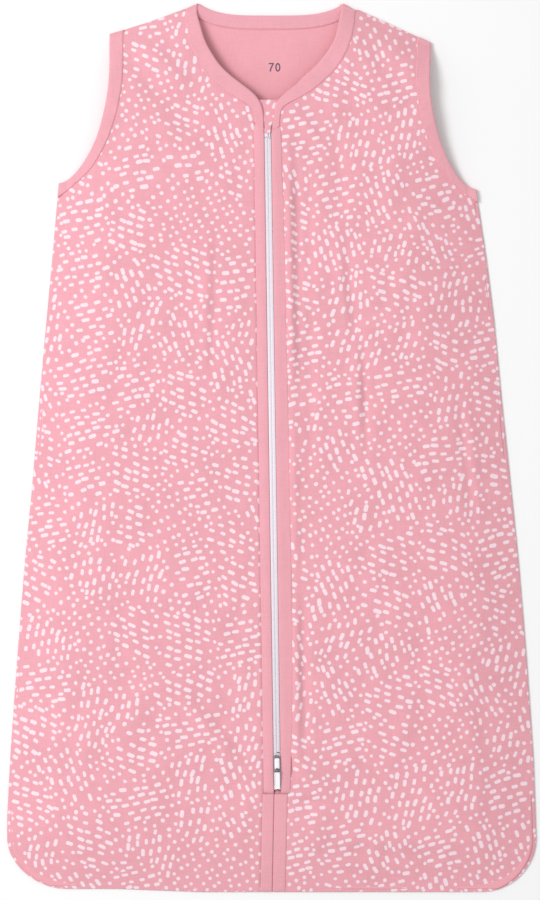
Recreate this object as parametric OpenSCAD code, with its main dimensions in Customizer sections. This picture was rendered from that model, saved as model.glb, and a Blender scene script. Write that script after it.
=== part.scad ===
// Sleeveless summer sleeping bag for a baby, laid flat on its back.
// X runs across the bag, Y from the hem to the neck, and Z up from the surface it lies on.
// The origin is at the middle of the base.

/* [Outline] */
// Length from the hem to the neck corners of the shoulders
bag_length = 700; // [660:10:740]
// Width across the widest part, just above the hem
hem_width = 416; // [396:2:436]
// Width between the underarms
chest_width = 330; // [320:2:340]
// Width between the shoulder tips
shoulder_width = 253; // [246:1:260]
// Width of the neck between its shoulder corners
neck_width = 114; // [108:1:120]
// Drop from a neck corner to the shoulder tip
shoulder_drop = 28; // [24:1:32]
// Depth of an armhole below the shoulder tip
armhole_depth = 116; // [110:1:122]
// Depth of the front neckline
front_neck_drop = 76; // [74:1:78]
// Depth of the back neckline
back_neck_drop = 9.5; // [8:0.5:11]
// Radius of the two bottom corners
corner_r = 42; // [36:1:48]
// Outward bow of each side seam
side_bow = 2.6; // [0:0.2:4]

/* [Fabric] */
// Thickness of the printed outer fabric
panel_t = 0.8; // [0.6:0.1:0.9]
// Thickness of the lining
lining_t = 0.5; // [0.4:0.1:0.6]
// Width of the binding at the neck and armholes
binding_w = 11; // [10:0.5:12]
// Height of the front lining above the base
front_height = 10.6; // [10.6:0.2:12]
// Distance over which the front rises from a side seam or the hem
side_rise = 45; // [40:1:50]
// Distance over which the front rises from a shoulder seam
shoulder_rise = 29; // [26:1:29]

/* [Zip] */
// Lean of the zip away from the Y axis, in degrees
zip_lean = 0.85; // [0.6:0.05:1]
// Where the zip's centre line crosses the X axis
zip_mid_x = 0.9; // [0.4:0.1:1.4]
// Width of the closed coil
coil_w = 4.6; // [4.4:0.1:4.7]
// Thickness of the coil
coil_t = 1.3; // [1.1:0.1:1.4]
// Gap between the two plackets
placket_gap = 5.5; // [5.4:0.1:5.8]
// Width of the left placket from the zip's centre line
placket_w = 10.8; // [10.4:0.1:11.2]
// Length of the slider's body
slider_len = 14.5; // [13.5:0.5:15]
// Length of the slider's pull
pull_len = 14.8; // [12:0.2:15]
// Width of the slider's pull
pull_w = 4.4; // [4.2:0.1:4.6]

/* [Hidden] */

// Colours
PRINT = "#eea2b4";
PLAIN = "#e393a6";
LINING = "#ee9aae";
NYLON = "#ece8f0";
LACQUER = "#f6f6f8";

// Levels of the outline
y_top = bag_length / 2;
y_hem = -y_top;
y_tip = y_top - shoulder_drop;
y_arm = y_tip - armhole_depth;
y_corner = y_hem + corner_r;
y_strip = y_hem + 79;
y_zip_top = y_top - 101;

// Heights of the layers where the front is level
back_band_t = 2.2;
back_lining_z = 1;
front_panel_z = front_height + 1.2;
band_z = front_height - 0.7;
band_t = 3.4;
seam_panel_z = 0.9;
seam_lining_z = 0.2;
seam_band_z = 0.4;
tape_z = front_height + 1;
tape_t = 0.5;
coil_z = tape_z + tape_t + 0.1;
placket_z = tape_z + 0.85;
placket_t = 0.75;
plate_z = coil_z + coil_t + 0.3;
plate_t = 0.8;
cap_z = plate_z + plate_t;
cap_t = 0.8;
pull_t = 1;
pull_z = cap_z + cap_t + 0.3 + pull_t / 2;
guard_z = front_height - 1.8;

// Gaps
seam_gap = 0.3;
tape_gap = 0.55;
lining_inset = 2.5;
lining_gap = 1.4;
front_lining_inset = 7;

// The line that the open flap folds along, from the zip's foot to the neck edge
fold_low = [15, y_strip];
fold_high = [neck_width / 2 - 4, y_top - 28];
fold_angle = atan2(fold_high.y - fold_low.y, fold_high.x - fold_low.x);

// Shapes of the neckline, as [depth, half width] in shares of the front drop and the neck width
NECK_EDGE = [[0, 1], [0.17, 0.98], [0.34, 0.92], [0.49, 0.83], [0.64, 0.68], [0.76, 0.51],
             [0.87, 0.33], [1, 0.15], [1.1, 0.085], [1.3, 0.055]];
NECK_SEAM = [[0, 1.19], [0.08, 1.17], [0.3, 1.14], [0.43, 1.07], [0.54, 1.02], [0.7, 0.9],
             [0.83, 0.72], [0.93, 0.54], [1, 0.37], [1.07, 0.19], [1.12, 0.17]];
// How far the middle of the neckline stands off X = 0, by its depth
NECK_SHIFT = [[0, 0], [1, -3.5], [1.3, -3.1]];
// Width of the right placket from the zip's centre line, by height on the zip
PLACKET_RIGHT = [[y_strip, 9.5], [y_strip + 33, 11.8], [y_strip + 71, 13.4], [y_strip + 171, 13.8],
                 [y_strip + 309, 13], [y_strip + 419, 12.6], [y_zip_top, 9.8]];

function clamp(v) = min(1, max(0, v));
function lerp(a, b, t) = a + (b - a) * t;
function ease(d) = let (c = clamp(d)) pow(c * (2 - c), 0.8);

// Distance from a point to the segment between a and b
function segment_d(p, a, b) = let (t = clamp((p - a) * (b - a) / ((b - a) * (b - a)))) norm(p - lerp(a, b, t));

// A quarter of a rounded bow that runs from x_far at the bottom to x_far - reach at y_mid
function quarter(y, x_far, reach, depth) =
    x_far - reach * pow(1 - pow(clamp((y_tip - 22 - y) / depth), 1.75), 1 / 1.75);
function armhole_edge(y) = quarter(y, chest_width / 2, (chest_width - shoulder_width) / 2, armhole_depth - 22);
function armhole_seam(y) =
    quarter(y, chest_width / 2 + 3, (chest_width - shoulder_width) / 2 + binding_w + 3, armhole_depth - 11);

// Half width of the outline at height y
function shoulder_x(y) = lerp(neck_width / 2, shoulder_width / 2, (y_top - y) / shoulder_drop);
function side_x(y) =
    let (t = clamp((y_arm - y) / (y_arm - y_corner)))
    lerp(chest_width / 2, hem_width / 2, t) + side_bow * sin(180 * t);
function corner_x(y) = hem_width / 2 - corner_r + sqrt(max(0, corner_r ^ 2 - (y_corner - y) ^ 2));
function outer_x(y) = y >= y_tip ? shoulder_x(y) : y >= y_arm ? armhole_edge(y)
    : y >= y_corner ? side_x(y) : corner_x(y);
// Half width of the panels, which stop at the armhole binding
function panel_x(y) = y < y_arm - 9.5 ? outer_x(y) : min(outer_x(y), armhole_seam(y) - seam_gap);

// Front neckline: how far the edge and the binding's seam stand out from X = 0 on one side
function neck_shift(y) = lookup((y_top - y) / front_neck_drop, NECK_SHIFT);
function neck_x(table, side, y) =
    neck_width / 2 * lookup((y_top - y) / front_neck_drop, table) + side * neck_shift(y);

// The zip's centre line and the fold line
function zip_x(y) = zip_mid_x - y * tan(zip_lean);
function fold_x(y) = lerp(fold_low.x, fold_high.x, (y - fold_low.y) / (fold_high.y - fold_low.y));

// Hem strips: their outer edges and centre seam, which lean the other way
function strip_left(y) = lerp(-8.4, -6.7, (y - y_hem) / (y_strip - y_hem));
function strip_mid(y) = lerp(0.9, 2.3, (y - y_hem) / (y_strip - y_hem));
function strip_right(y) = lerp(11.1, 12.9, (y - y_hem) / (y_strip - y_hem));

// How far the front has risen at a point, from 0 on a seam to 1 where it is level
function lift(x, y) =
    let (side_d = y > y_arm ? norm([abs(x) - chest_width / 2, y - y_arm]) : outer_x(y) - abs(x))
    let (neck_corner = [neck_width / 2, y_top], tip = [shoulder_width / 2, y_tip])
    ease(side_d / side_rise) * ease((y - y_hem) / side_rise)
    * ease(segment_d([abs(x), y], neck_corner, tip) / shoulder_rise);

// Rows that the front's sheets are built on
hem_rows = [for (a = [15:15:90]) y_hem + corner_r * (1 - cos(a))];
side_rows = [for (k = [0:7]) lerp(y_strip + 5, y_arm - 13, k / 7)];
arm_rows = [for (k = [0:4]) lerp(y_arm - 7.5, y_zip_top, k / 4)];
neck_rows = [for (k = [0:7]) lerp(y_zip_top + 13, y_tip - 10, k / 7)];
top_rows = [y_tip, y_tip + 4, y_tip + 14];
front_rows = concat([y_hem], hem_rows, [y_strip - 4], side_rows, arm_rows, neck_rows, top_rows);

// A curved sheet on one side of the bag, between two edges given as distances from X = 0
module sheet(side, rows, inner, outer, low_z, high_z, t) {
    cols = 9;
    count = (cols + 1) * len(rows);
    function at(y, k) = lerp(inner(y), outer(y), 1 - pow(1 - k / cols, 1.5));
    function id(r, k) = r * (cols + 1) + k;
    under = [for (y = rows, k = [0:cols]) let (x = at(y, k)) [x, y, lerp(low_z, high_z, lift(x, y))]];
    over = [for (p = under) p + [0, 0, t]];
    last = len(rows) - 1;
    skin = [for (r = [0:last - 1], k = [0:cols - 1]) [id(r, k), id(r, k + 1), id(r + 1, k + 1), id(r + 1, k)]];
    rim = concat([for (k = [0:cols - 1]) [id(0, k + 1), id(0, k)]],
                 [for (r = [0:last - 1]) [id(r + 1, cols), id(r, cols)]],
                 [for (k = [cols:-1:1]) [id(last, k - 1), id(last, k)]],
                 [for (r = [last:-1:1]) [id(r - 1, 0), id(r, 0)]]);
    triangles = [for (q = skin) each [[q[0], q[1], q[2]], [q[0], q[2], q[3]]]];
    faces = concat(triangles,
                   [for (f = triangles) [f[2] + count, f[1] + count, f[0] + count]],
                   [for (e = rim) each [[e[0], e[1], e[1] + count], [e[0], e[1] + count, e[0] + count]]]);
    mirror([side < 0 ? 1 : 0, 0, 0])
        polyhedron(points = concat(under, over), faces = faces);
}

// Everything made in the zip's own direction
module on_zip() {
    translate([zip_mid_x, 0, 0])
        rotate([0, 0, zip_lean])
            children();
}

// A long box on the zip, from x0 to x1 and y0 to y1
module bar(x0, x1, y0, y1, z, t) {
    translate([x0, y0, z])
        cube([x1 - x0, y1 - y0, t]);
}

// Both sides of a list of [x, y] points, as one closed outline
function both_sides(points) = concat(points, [for (k = [len(points) - 1:-1:0]) [-points[k].x, points[k].y]]);
function back_x(y, inset) = y < y_arm - 9.5 ? outer_x(y) - inset : panel_x(y) - inset;
back_rows = concat([for (a = [0:10:90]) y_hem + corner_r * (1 - cos(a))],
                   [for (k = [1:8]) lerp(y_corner, y_arm - 10, k / 8)],
                   [for (k = [0:14]) lerp(y_arm - 7.5, y_tip + 4, k / 14)]);
// Height of the back neck's edge at a point across it, from the middle out
function back_edge(f) = [neck_width / 2 * f, y_top - back_neck_drop * (1 - pow(f, 4))];
function back_seam(f) = let (p = back_edge(f)) [p.x * 1.17, p.y - lerp(binding_w, 5.5, pow(f, 3))];

module back_sheet(z, t, inset) {
    side = [for (y = back_rows) [back_x(y, inset), y + (y == y_hem ? inset : 0)]];
    neck = [for (f = [1:-0.1:0]) back_seam(f) - [0, seam_gap + inset / 2]];
    translate([0, 0, z])
        linear_extrude(t)
            polygon(both_sides(concat(side, neck)));
}

module back_panel() {
    color(PRINT) back_sheet(0, panel_t, 0);
}

module back_lining() {
    color(LINING) back_sheet(back_lining_z, lining_t, lining_inset);
}

// Printed front, left of the zip
function left_edge(y) = y < y_strip ? seam_gap - strip_left(y)
    : y <= y_zip_top ? seam_gap + placket_w - zip_x(y)
    : max(seam_gap + placket_w - zip_x(y_zip_top), seam_gap + neck_x(NECK_SEAM, -1, y));

module front_left_panel() {
    color(PRINT)
        sheet(-1, front_rows, function(y) left_edge(y), function(y) panel_x(y),
              seam_panel_z, front_panel_z, panel_t);
}

// Linings stop short of the slider and of the seams
slider_room = 4.6;
function lining_x(y) = panel_x(y) - (y > y_tip + 2 ? front_lining_inset + 3 : front_lining_inset);
function lining_left(y) = y < y_strip ? -strip_mid(y) + seam_gap / 2
    : y < y_zip_top ? slider_room - zip_x(y)
    : lining_gap + neck_x(NECK_SEAM, -1, y);
lining_rows = concat([y_hem + front_lining_inset],
                     [for (y = front_rows) if (y > y_hem + front_lining_inset + 1 && y < y_top - 8) y]);

module front_left_lining() {
    color(LINING)
        sheet(-1, lining_rows, function(y) lining_left(y), function(y) lining_x(y),
              seam_lining_z, front_height, lining_t);
}

// Printed front, right of the fold line
function fold_edge(y, gap) = y <= fold_high.y - 22 ? seam_gap + fold_x(y)
    : max(seam_gap + fold_x(y), gap + neck_x(NECK_SEAM, 1, y));
function right_edge(y) = y < y_strip ? seam_gap + strip_right(y) : fold_edge(y, seam_gap);

module front_right_panel() {
    color(PRINT)
        sheet(1, front_rows, function(y) right_edge(y), function(y) panel_x(y),
              seam_panel_z, front_panel_z, panel_t);
}

function lining_right(y) = y < y_strip ? strip_mid(y) + seam_gap / 2 : fold_edge(y, lining_gap);

module front_right_lining() {
    color(LINING)
        sheet(1, lining_rows, function(y) lining_right(y), function(y) lining_x(y),
              seam_lining_z, front_height, lining_t);
}

// The flap is the part of the right front between the zip and the fold line, all on the level
function placket_right(y) = lookup(y, PLACKET_RIGHT);
flap_neck_rows = [y_zip_top + 0.5, y_zip_top + 14, y_zip_top + 18, y_zip_top + 21, y_zip_top + 25,
                  y_zip_top + 31, y_zip_top + 38, y_zip_top + 46];

module flap_sheet(y_low, low_edge, gap, z, t) {
    zip_side = [for (k = [0:12]) let (y = lerp(y_low, y_zip_top, k / 12)) [low_edge(y), y]];
    flap_neck = [for (y = flap_neck_rows) [neck_x(NECK_SEAM, 1, y) + gap, y]];
    fold_side = [for (y = [y_zip_top + 47, y_low]) [fold_x(y) - seam_gap, y]];
    translate([0, 0, z])
        linear_extrude(t)
            polygon(concat(zip_side, flap_neck, fold_side));
}

module flap_panel() {
    color(PRINT)
        flap_sheet(y_strip + 66, function(y) zip_x(y) + placket_right(y) + seam_gap, seam_gap, front_panel_z, panel_t);
}

module flap_lining() {
    color(LINING)
        flap_sheet(flap_low, function(y) zip_x(y) + slider_room, lining_gap, front_height, lining_t);
}

// Binding round the neck and the armholes
neck_band_rows = concat([for (k = [0:11]) lerp(y_zip_top + 2, y_tip, k / 11)],
                        [y_tip + 6, y_tip + 12, y_tip + 18, y_tip + 23, y_top - 0.01]);
function band_outer(side, y) = min(neck_x(NECK_SEAM, side, y), outer_x(y) + 1);

module front_neck_band(side) {
    sheet(side, neck_band_rows, function(y) neck_x(NECK_EDGE, side, y),
          function(y) max(neck_x(NECK_EDGE, side, y) + 1, band_outer(side, y)),
          seam_band_z, band_z, band_t);
}

module back_neck_band() {
    edge = [for (f = [1:-0.1:0]) back_edge(f)];
    seam = [for (f = [0:0.1:1]) back_seam(f)];
    right = concat(seam, edge);
    linear_extrude(back_band_t)
        polygon(concat(right, [for (k = [len(edge) - 2:-1:0]) [-edge[k].x, edge[k].y]],
                       [for (k = [len(seam) - 1:-1:1]) [-seam[k].x, seam[k].y]]));
}

// Everything on the flap's side of the fold line, or on the other side of it
module fold_side(flap) {
    reach = 2 * bag_length;
    intersection() {
        children();
        translate([fold_low.x, fold_low.y, -reach / 2])
            rotate([0, 0, fold_angle])
                translate([-reach / 2, flap ? seam_gap : -reach - seam_gap, 0])
                    cube(reach);
    }
}

module neck_binding() {
    color(PLAIN) {
        front_neck_band(-1);
        back_neck_band();
        fold_side(false) front_neck_band(1);
    }
}

module flap_neck_binding() {
    color(PLAIN) fold_side(true) front_neck_band(1);
}

armhole_rows = concat([y_arm - 7.5, y_arm - 4, y_arm], [for (k = [1:9]) lerp(y_arm, y_tip, pow(k / 9, 1.3))],
                      [y_tip + 3.5]);

module armhole_binding(side) {
    edge = [for (y = armhole_rows) [side * outer_x(y), y]];
    seam = [for (y = armhole_rows) [side * armhole_seam(y), y]];
    sheet(side, armhole_rows, function(y) armhole_seam(y), function(y) outer_x(y),
          seam_band_z, band_z, band_t);
    linear_extrude(back_band_t)
        polygon(concat(edge, [for (k = [len(seam) - 1:-1:0]) seam[k]]));
}

module armhole_binding_left() {
    color(PLAIN) armhole_binding(-1);
}

module armhole_binding_right() {
    color(PLAIN) armhole_binding(1);
}

// Plain strips each side of the zip
placket_low = y_strip + 0.6;

module zip_placket_left() {
    color(PLAIN)
        on_zip()
            bar(-placket_w, -placket_gap / 2, placket_low, y_zip_top, placket_z, placket_t);
}

module zip_placket_right() {
    outer = [for (k = [0:12]) let (y = lerp(placket_low, y_zip_top, k / 12)) [placket_right(y), y]];
    color(PLAIN)
        on_zip()
            translate([0, 0, placket_z])
                linear_extrude(placket_t)
                    polygon(concat([[placket_gap / 2, y_zip_top], [placket_gap / 2, placket_low]], outer));
}

// Plain strips from the foot of the zip to the hem
strip_rows = concat([y_hem], hem_rows, [lerp(y_corner, y_strip, 0.5), y_strip - 0.2]);

module hem_strip_left() {
    color(PLAIN)
        sheet(-1, strip_rows, function(y) 0.1 - strip_mid(y), function(y) -strip_left(y),
              seam_panel_z + 0.1, front_panel_z + 0.1, panel_t);
}

module hem_strip_right() {
    color(PLAIN)
        sheet(1, strip_rows, function(y) 0.1 + strip_mid(y), function(y) strip_right(y),
              seam_panel_z + 0.1, front_panel_z + 0.1, panel_t);
}

// Strip behind the zip that keeps it off the skin, with a rounded top
guard_w = 24;
guard_low = y_strip + 9;
guard_high = y_top - front_neck_drop - 1;

module zip_guard() {
    color(PRINT)
        on_zip() {
            bar(-guard_w / 2, guard_w / 2, guard_low, guard_high - guard_w / 2, guard_z, panel_t);
            translate([0, guard_high - guard_w / 2, guard_z])
                cylinder(d = guard_w, h = panel_t, $fn = 64);
        }
}

// Zip tapes and coils. The last stretch on the right stays with the bag, inside the slider.
tape_w = 9.4;
zip_low = y_strip + 3;
slider_low = y_strip + 16.5;
slider_high = slider_low + slider_len;
stub_high = slider_high + 0.5;
flap_low = stub_high + 0.6;
tape_high = y_zip_top + 1.2;
coil_high = tape_high - 7;

module tape(x0, x1, y0, y1) {
    color(NYLON)
        on_zip()
            bar(x0, x1, y0, y1, tape_z, tape_t);
}

// One coil: a bar with round edges
module coil(side, y0, y1) {
    r = coil_t / 2;
    x0 = tape_gap;
    x1 = coil_w / 2;
    color(NYLON)
        on_zip()
            mirror([side < 0 ? 1 : 0, 0, 0])
                translate([0, y1, coil_z + r])
                    rotate([90, 0, 0])
                        linear_extrude(y1 - y0) {
                            translate([x0 + r, 0]) circle(r, $fn = 24);
                            translate([x1 - r, 0]) circle(r, $fn = 24);
                            translate([x0 + r, -r]) square([x1 - x0 - 2 * r, coil_t]);
                        }
}

module zip_tape_left() {
    tape(-tape_w, -tape_gap, zip_low, tape_high);
}

module zip_tape_right() {
    tape(tape_gap, tape_w, flap_low, tape_high);
}

module zip_tape_end() {
    tape(tape_gap, tape_w, zip_low, stub_high);
}

module zip_coil_left() {
    coil(-1, zip_low + 4, coil_high);
}

module zip_coil_right() {
    coil(1, flap_low, coil_high);
}

module zip_coil_end() {
    coil(1, zip_low + 4, stub_high);
}

// The box that holds the pin, at the top end of the zip
module zip_retainer_box() {
    color(LACQUER)
        on_zip()
            bar(-coil_w / 2 - 0.2, 0.1, coil_high + 0.3, tape_high, tape_z + tape_t, 1.6);
}

module zip_insertion_pin() {
    pin_r = 0.7;
    color(LACQUER)
        on_zip()
            translate([tape_gap + pin_r, coil_high + 0.3, coil_z + pin_r])
                rotate([-90, 0, 0])
                    cylinder(r = pin_r, h = tape_high - coil_high - 0.3, $fn = 32);
}

// Staple across the lower end of both coils
module zip_end_stop() {
    color(LACQUER)
        on_zip()
            bar(-coil_w / 2, coil_w / 2, zip_low + 1, zip_low + 3.6, coil_z, coil_t);
}

// Row of stitches across the foot of the zip
module zip_end_bartack() {
    count = 7;
    pitch = (strip_right(y_strip) - strip_left(y_strip) - 1) / count;
    color(PLAIN)
        for (k = [0:count - 1])
            translate([strip_left(y_strip) + 0.5 + pitch * (k + 0.5), y_strip - 1.2, placket_z + panel_t + 0.05])
                cube([pitch * 0.7, 0.5, 0.3], center = true);
}

// Slider: two plates joined by a thin blade that runs between the coils
plate_w = 4.8;
base_w = 7.2;
base_t = 1;
blade_t = 0.44;
slider_mid = (slider_low + slider_high) / 2;

// A plate with round corners, wider towards the mouth at its lower end
module slider_plate(w, t) {
    r = 1.2;
    linear_extrude(t) {
        for (s = [-1, 1]) {
            translate([s * (w / 2 - r), slider_low + r]) circle(r, $fn = 32);
            translate([s * (w / 2 - r - 0.3), slider_high - r]) circle(r, $fn = 32);
        }
        translate([-w / 2 + r, slider_low]) square([w - 2 * r, slider_len]);
        polygon([[-w / 2, slider_low + r], [w / 2, slider_low + r],
                 [w / 2 - 0.3, slider_high - r], [0.3 - w / 2, slider_high - r]]);
    }
}

module slider_body() {
    color(LACQUER)
        on_zip() {
            translate([0, 0, plate_z]) slider_plate(plate_w, plate_t);
            translate([0, 0, tape_z - 0.3 - base_t]) slider_plate(base_w, base_t);
            bar(-blade_t / 2, blade_t / 2, slider_low + 2, slider_mid + 2,
                tape_z - 0.8, plate_z + 0.5 - tape_z + 0.8);
        }
}

// Cap with the lug that the pull swings on
cap_len = 9.2;
lug_w = 2;
lug_r = 1.2;
bore_r = 0.55;
pin_fit = 0.05;
pivot_y = slider_low + 1.9;

module slider_cap() {
    cap_w = 4.2;
    cap_low = pivot_y + 0.4;
    color(LACQUER)
        on_zip()
            difference() {
                union() {
                    bar(-cap_w / 2, cap_w / 2, cap_low + cap_w / 2, cap_low + cap_len - cap_w / 2, cap_z, cap_t);
                    for (y = [cap_low + cap_w / 2, cap_low + cap_len - cap_w / 2])
                        translate([0, y, cap_z]) cylinder(d = cap_w, h = cap_t, $fn = 48);
                    bar(-lug_w / 2, lug_w / 2, pivot_y, pivot_y + 2.4, cap_z, pull_z - cap_z);
                    translate([-lug_w / 2, pivot_y, pull_z])
                        rotate([0, 90, 0]) cylinder(r = lug_r, h = lug_w, $fn = 48);
                }
                translate([-lug_w, pivot_y, pull_z])
                    rotate([0, 90, 0]) cylinder(r = bore_r, h = 2 * lug_w, $fn = 48);
            }
}

// Pull: a tab with a window round the lug and its own cross pin, tilted down to rest on the zip
pull_tilt = 8;
window_len = 4;
window_w = 2.6;

module slider_pull() {
    arm_w = (pull_w - window_w) / 2;
    round_r = 1.4;
    tab_low = -pull_len + round_r;
    color(LACQUER)
        on_zip()
            translate([0, pivot_y, pull_z])
                rotate([pull_tilt, 0, 0]) {
                    for (s = [-1, 1])
                        translate([s * (window_w + arm_w) / 2, 0, 0]) {
                            translate([-arm_w / 2, -window_len - 1, -pull_t / 2])
                                cube([arm_w, window_len + 1, pull_t]);
                            translate([-arm_w / 2, 0, 0])
                                rotate([0, 90, 0]) cylinder(r = pull_t / 2, h = arm_w, $fn = 32);
                        }
                    translate([-pull_w / 2, tab_low, -pull_t / 2])
                        cube([pull_w, -window_len - tab_low, pull_t]);
                    translate([round_r - pull_w / 2, -pull_len, -pull_t / 2])
                        cube([pull_w - 2 * round_r, round_r + 0.5, pull_t]);
                    for (s = [-1, 1])
                        translate([s * (pull_w / 2 - round_r), tab_low, -pull_t / 2])
                            cylinder(r = round_r, h = pull_t, $fn = 32);
                    translate([-window_w / 2 - 0.2, 0, 0])
                        rotate([0, 90, 0]) cylinder(r = bore_r - pin_fit, h = window_w + 0.4, $fn = 48);
                }
}

back_panel();
back_lining();
front_left_panel();
front_left_lining();
front_right_panel();
front_right_lining();
flap_panel();
flap_lining();
neck_binding();
flap_neck_binding();
armhole_binding_left();
armhole_binding_right();
zip_placket_left();
zip_placket_right();
hem_strip_left();
hem_strip_right();
zip_guard();
zip_tape_left();
zip_tape_right();
zip_tape_end();
zip_coil_left();
zip_coil_right();
zip_coil_end();
zip_retainer_box();
zip_insertion_pin();
zip_end_stop();
zip_end_bartack();
slider_body();
slider_cap();
slider_pull();
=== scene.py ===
"""Baby sleeping bag, laid flat: detailed cloth, bindings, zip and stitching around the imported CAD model."""
import math

import bpy
import numpy as np
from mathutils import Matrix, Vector


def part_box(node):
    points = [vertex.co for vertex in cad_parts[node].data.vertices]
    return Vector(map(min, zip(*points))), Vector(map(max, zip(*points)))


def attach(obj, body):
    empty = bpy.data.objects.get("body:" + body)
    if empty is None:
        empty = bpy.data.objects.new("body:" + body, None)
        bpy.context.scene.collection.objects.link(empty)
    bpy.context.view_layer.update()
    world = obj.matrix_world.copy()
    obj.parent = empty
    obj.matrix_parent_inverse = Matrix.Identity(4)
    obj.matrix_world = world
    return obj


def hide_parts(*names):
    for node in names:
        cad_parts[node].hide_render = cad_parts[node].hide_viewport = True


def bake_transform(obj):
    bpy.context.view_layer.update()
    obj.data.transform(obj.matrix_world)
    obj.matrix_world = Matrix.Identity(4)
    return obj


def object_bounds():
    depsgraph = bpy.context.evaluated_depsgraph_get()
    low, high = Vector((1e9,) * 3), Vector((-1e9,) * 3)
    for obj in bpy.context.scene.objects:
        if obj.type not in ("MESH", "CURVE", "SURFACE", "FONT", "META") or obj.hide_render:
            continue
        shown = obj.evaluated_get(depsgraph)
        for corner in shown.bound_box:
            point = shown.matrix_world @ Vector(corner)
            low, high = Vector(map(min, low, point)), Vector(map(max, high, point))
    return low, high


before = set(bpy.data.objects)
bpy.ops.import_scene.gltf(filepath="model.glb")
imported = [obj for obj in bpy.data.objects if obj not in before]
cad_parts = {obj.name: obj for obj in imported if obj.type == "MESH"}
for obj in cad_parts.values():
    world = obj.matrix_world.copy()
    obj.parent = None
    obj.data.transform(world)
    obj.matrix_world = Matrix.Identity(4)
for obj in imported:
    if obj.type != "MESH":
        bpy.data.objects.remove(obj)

cad_box = [list(corner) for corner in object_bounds()]

# Lengths below are in millimetres, and MM turns them into the frame's metres
MM = 0.001


def node_mm(node):
    """A CAD node's lowest and highest corners in millimetres."""
    low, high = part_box(node)
    return np.array(low) / MM, np.array(high) / MM


def middle_z(node):
    low, high = node_mm(node)
    return (low[2] + high[2]) / 2


# ---------------------------------------------------------------- sizes
bag_low, bag_high = (np.array(corner) / MM for corner in cad_box)
Y_HEM, Y_TOP = bag_low[1], bag_high[1]
HALF_HEM = bag_high[0]
Y_TIP = Y_TOP - 28                                      # shoulder tips
Y_ARM = node_mm("armhole_binding_left")[0][1] + 7.5     # underarms
Y_STRIP = node_mm("hem_strip_left")[1][1]               # top of the hem strips, at the foot of the zip
Y_NECK = 262.0                                          # where what runs up the zip ends, under the binding
Y_NECK_SEAM = 266.0                                     # above this the panels end at the neck seam
Y_COVERED = 246.0                                       # above this the neck binding covers the plackets
HALF_CHEST, HALF_SHOULDER, HALF_NECK = 165.0, 126.5, 57.0
CORNER_R = 42.0
Y_CORNER = Y_HEM + CORNER_R
SIDE_BOW = 2.6
BINDING_W = 11.0
Y_JOIN = Y_ARM - 9.5                                    # where the armhole seam meets the side
Y_ARM_TOP = Y_TIP - 22                                  # from here to the tips the armholes are straight
BACK_DROP, BACK_FLARE = 9.4, 9.7                        # dip of the back neck, and how its seam runs wider

# Heights of the layers' middles, and the widths over which the front rises from its seams
FRONT_Z, PLACKET_Z = middle_z("flap_panel"), middle_z("zip_placket_left")
COIL_Z, GUARD_Z = middle_z("zip_coil_left"), middle_z("zip_guard")
SEAM_Z, BACK_Z, BACK_LINING_Z, BACK_BAND_Z = 1.0, 0.4, 1.3, 1.15
SIDE_RISE, SHOULDER_RISE = 70.0, 34.0
CLOTH_T, LINING_T = 0.5, 0.4

COIL_W = 4.6
ZIP_LEAN, ZIP_MID_X = math.radians(0.85), 0.9
FOLD_LOW, FOLD_HIGH, FOLD_WIDTH = np.array([15.0, -271.0]), np.array([53.0, 322.0]), 9.0
LINING_SLACK = 3.8                                      # how much deeper the lining hangs along the fold


# ---------------------------------------------------------------- helpers for lines
def ease(d):
    return np.sin(math.pi / 2 * np.clip(d, 0, 1))


def smooth(a, b, v):
    t = np.clip((v - a) / (b - a), 0, 1)
    return t * t * (3 - 2 * t)


def segment(x, y, a, b):
    """Distance from each point to a segment, and how far along it the nearest point lies."""
    a, b = np.array(a, float), np.array(b, float)
    d = b - a
    t = np.clip(((x - a[0]) * d[0] + (y - a[1]) * d[1]) / (d @ d), 0, 1)
    return np.hypot(x - a[0] - t * d[0], y - a[1] - t * d[1]), t


def evenly(points, count):
    """The same line, as count points spaced evenly along it."""
    along = np.concatenate([[0], np.cumsum(np.linalg.norm(np.diff(points, axis=0), axis=1))])
    at = np.linspace(0, along[-1], count)
    return np.stack([np.interp(at, along, points[:, k]) for k in range(points.shape[1])], axis=1)


def spline(points, count, samples=24):
    """A smooth curve through given points, as count points spaced evenly along it."""
    p = np.array(points, float)
    ends = np.vstack([2 * p[0] - p[1], p, 2 * p[-1] - p[-2]])
    t = np.linspace(0, 1, samples, endpoint=False)[:, None]
    runs = []
    for a, b, c, d in zip(ends[:-3], ends[1:-2], ends[2:-1], ends[3:]):
        cubic = 3 * b - a - 3 * c + d
        runs.append(0.5 * (2 * b + (c - a) * t + (2 * a - 5 * b + 4 * c - d) * t ** 2 + cubic * t ** 3))
    return evenly(np.vstack(runs + [p[-1:]]), count)


# ---------------------------------------------------------------- outline
def quarter(y, x_far, x_near, depth):
    """One side of an armhole: x at each height y, from the underarm up."""
    s = np.clip((Y_ARM_TOP - y) / depth, 0, 1)
    return x_far - (x_far - x_near) * (1 - s ** 1.75) ** (1 / 1.75)


def armhole_edge(y):
    return quarter(y, HALF_CHEST, HALF_SHOULDER, Y_ARM_TOP - Y_ARM)


def armhole_seam(y):
    return quarter(y, HALF_CHEST + 3, HALF_SHOULDER - BINDING_W, Y_TIP - BINDING_W - Y_ARM)


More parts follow.
